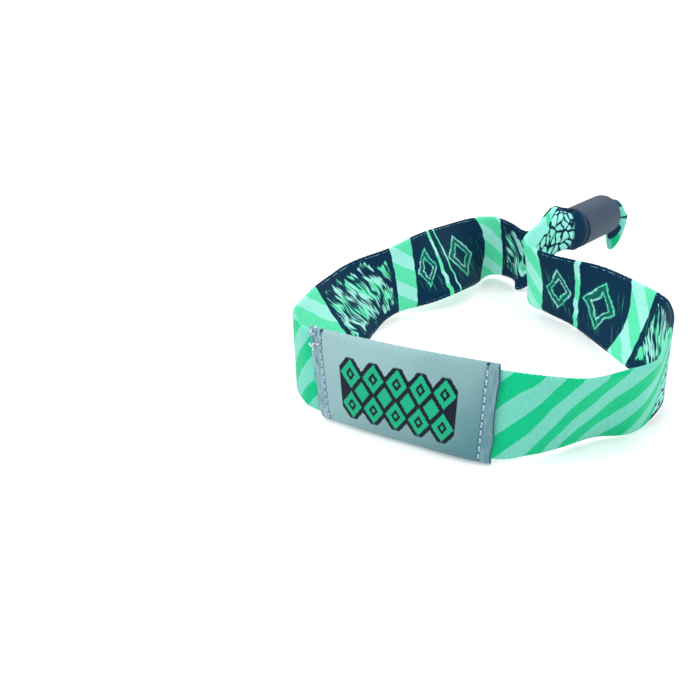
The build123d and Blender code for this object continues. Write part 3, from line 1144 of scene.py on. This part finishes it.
stitches = new_object("pouch_stitches", [seam_yarn], *threads(stitch_rows(), stitch_sides))
corner = pouch_surface(pouch_length - 0.6 * MM, 0.97, 1, 0.1 * MM)
corner_low = pouch_surface(pouch_length - 0.7 * MM, 0.7, 1, 0.1 * MM)
outward = Vector((-0.75, -0.35, 0.45))
backward = Vector((0.5, -0.2, 0.6))
white_wisps = wisps([corner, corner, corner_low], 13, 1.0 * MM, 0.16 * MM, 0.9 * MM, outward)
white_ends = new_object("pouch_thread_ends", [white_yarn], *threads(white_wisps, yarn_sides))
blue_wisps = wisps([corner], 6, 1.1 * MM, 0.1 * MM, 1.2 * MM, backward)
blue_ends = new_object("pouch_blue_thread_ends", [blue_yarn], *threads(blue_wisps, yarn_sides))

# Frayed yarns at the band's cut ends
fringe_count = 24
fringe_radius = 0.11 * MM
fringe_root = 0.3 * MM
fringe_droop = 0.3
fringe_steps = 4
fringe_step = (0.14, 0.24)
fringe_stray = 0.25


def cut_fringe():
    """Frayed yarn ends along both cut ends of the band."""
    for part, side in ((band_sections[0], -1), (band_sections[-1], 1)):
        for out, up in leaned(cloth_line(part.gather, band_width, fringe_count), part.lean):
            way = (part.run * side + Vector((0, 0, -fringe_droop))).normalized()
            path = [shaped(put(part, out, up), part.gather) - way * fringe_root]
            for _ in range(fringe_steps):
                way = (way + stray() * fringe_stray).normalized()
                path.append(path[-1] + way * rng.uniform(*fringe_step) * MM)
            yield path, fringe_radius


fringe = new_object("band_cut_ends", [fringe_yarn], *threads(cut_fringe(), yarn_sides))

# Lock
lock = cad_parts["lock"]
lock_material = moulded_plastic()
for material_slot in lock.material_slots:
    material_slot.material = lock_material


def floor_material():
    """White ground with a trace of unevenness."""
    graph = Graph("studio_floor")
    fleck = graph.cloud(graph.node("ShaderNodeTexCoord", "Object"), 40.0, 2.0)
    return graph.finish({
        "Base Color": graph.blend(fleck, srgb(250, 250, 251), WHITE),
        "Roughness": 0.8,
        "Normal": graph.bump(fleck, 0.0001, 0.05),
    })


floor_reach = 3.0
floor_corners = [(x * floor_reach, y * floor_reach, 0) for x, y in ((-1, -1), (1, -1), (1, 1), (-1, 1))]
floor = new_object("floor", [floor_material()], floor_corners, [(0, 1, 2, 3)])


def soft_light(name, place, target, size, power):
    """Square lamp at a place that shines at a target."""
    data = bpy.data.lights.new(name, "AREA")
    data.size = size
    data.energy = power
    light = bpy.data.objects.new(name, data)
    bpy.context.collection.objects.link(light)
    light.location = place
    light.rotation_euler = (Vector(target) - Vector(place)).to_track_quat("-Z", "Y").to_euler()


soft_light("key_light", (-0.42, -0.16, 0.5), (0, 0, 0.01), 0.4, 1.9)
soft_light("back_light", (0.15, 0.5, 0.5), (0, 0, 0.01), 0.5, 1.1)
soft_light("right_light", (0.5, -0.1, 0.2), (0.02, -0.02, 0.01), 0.3, 0.8)

# Plain white surroundings that are brighter overhead, as under a large softbox
sky = Graph("studio", bpy.data.worlds)
direction = sky.node("ShaderNodeTexCoord", "Generated")
inputs = {"Value": sky.node("ShaderNodeSeparateXYZ", "Z", {"Vector": direction})}
inputs |= {"From Min": -0.1, "From Max": 1.0, "To Min": 0.5, "To Max": 1.42}
brightness = sky.node("ShaderNodeMapRange", "Result", inputs)
strength = sky.math("MAXIMUM", brightness, sky.node("ShaderNodeLightPath", "Is Camera Ray"))
bpy.context.scene.world = sky.finish({"Color": WHITE, "Strength": strength}, "Background")
bpy.context.scene.view_settings.view_transform = "Standard"

# The photograph's camera, found from the outline and the parallel edges of the loop
look_down = 0.497754
camera_roll = 0.0025259
camera_place = Vector((-26.988, -125.704, 66.833)) * MM
camera_lens = 37.021

camera_data = bpy.data.cameras.new("camera")
camera_data.lens = camera_lens
camera_data.sensor_width = 36.0
camera_data.sensor_fit = "HORIZONTAL"
camera_data.clip_start = 0.005
camera_data.clip_end = 20.0
camera = bpy.data.objects.new("camera", camera_data)
bpy.context.collection.objects.link(camera)
down_cos, down_sin = cos(look_down), sin(look_down)
roll_cos, roll_sin = cos(camera_roll), sin(camera_roll)
right = Vector((roll_cos, -roll_sin * down_sin, -roll_sin * down_cos))
upward = Vector((roll_sin, roll_cos * down_sin, roll_cos * down_cos))
back = Vector((0, -down_cos, down_sin))
turned = Matrix((right, upward, back)).transposed().to_4x4()
camera.matrix_world = Matrix.Translation(camera_place) @ turned
bpy.context.scene.camera = camera

# What each piece is
for piece in (band, pouch, stitches, white_ends, blue_ends, fringe):
    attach(piece, "root")
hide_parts("band")
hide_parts("pouch")
